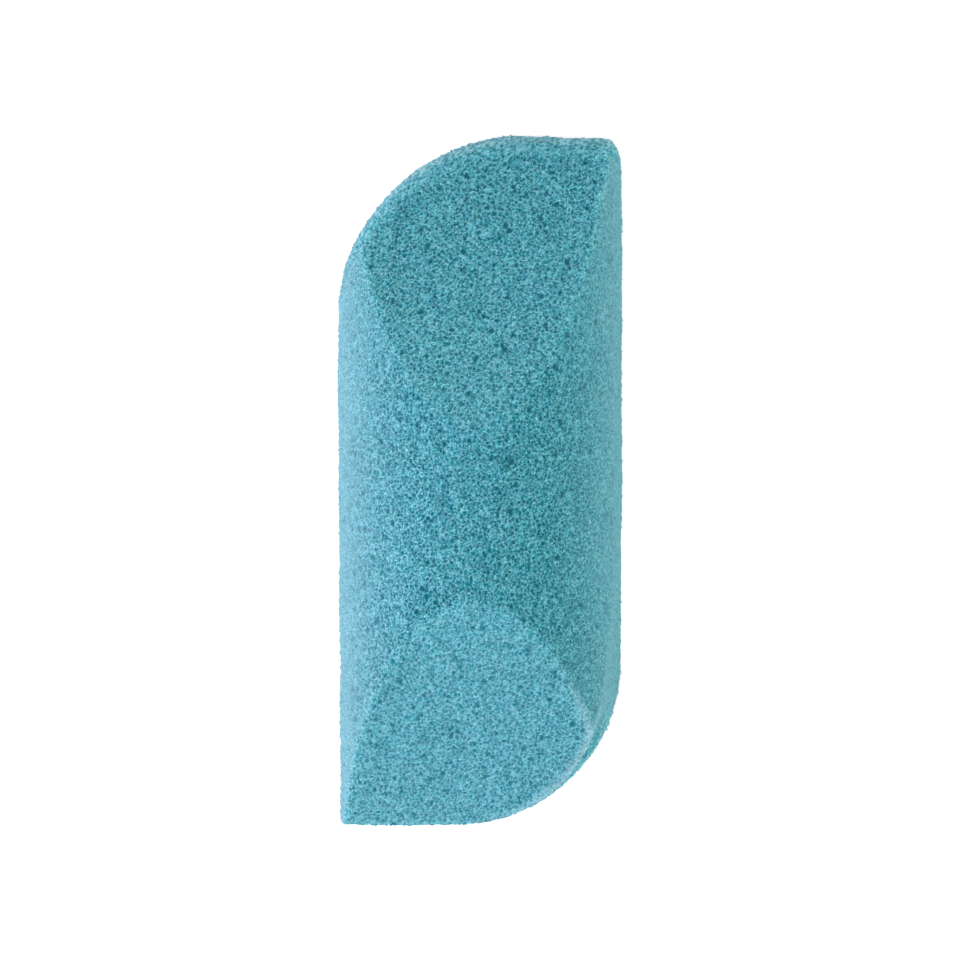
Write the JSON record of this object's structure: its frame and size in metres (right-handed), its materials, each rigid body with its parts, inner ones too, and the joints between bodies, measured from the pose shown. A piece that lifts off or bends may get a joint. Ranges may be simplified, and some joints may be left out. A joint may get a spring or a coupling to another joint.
{
  "type": "filter foam block",
  "caption": "Open-cell foam insert for an aquarium or small pond filter: a leaf-outlined block with a half-round front, flat back and a flat slanting cut towards each end.",
  "frame": {"origin": "centre of the flat back face, which the block lies on", "axes": "+X across the block, +Y along it towards the shallower slanting cut, +Z out of the half-round front"},
  "size_m": [0.045, 0.1116, 0.035],
  "materials": {
    "filter_foam": null
  },
  "bodies": {
    "root": {"foam_block": "filter_foam"}
  },
  "joints": []
}
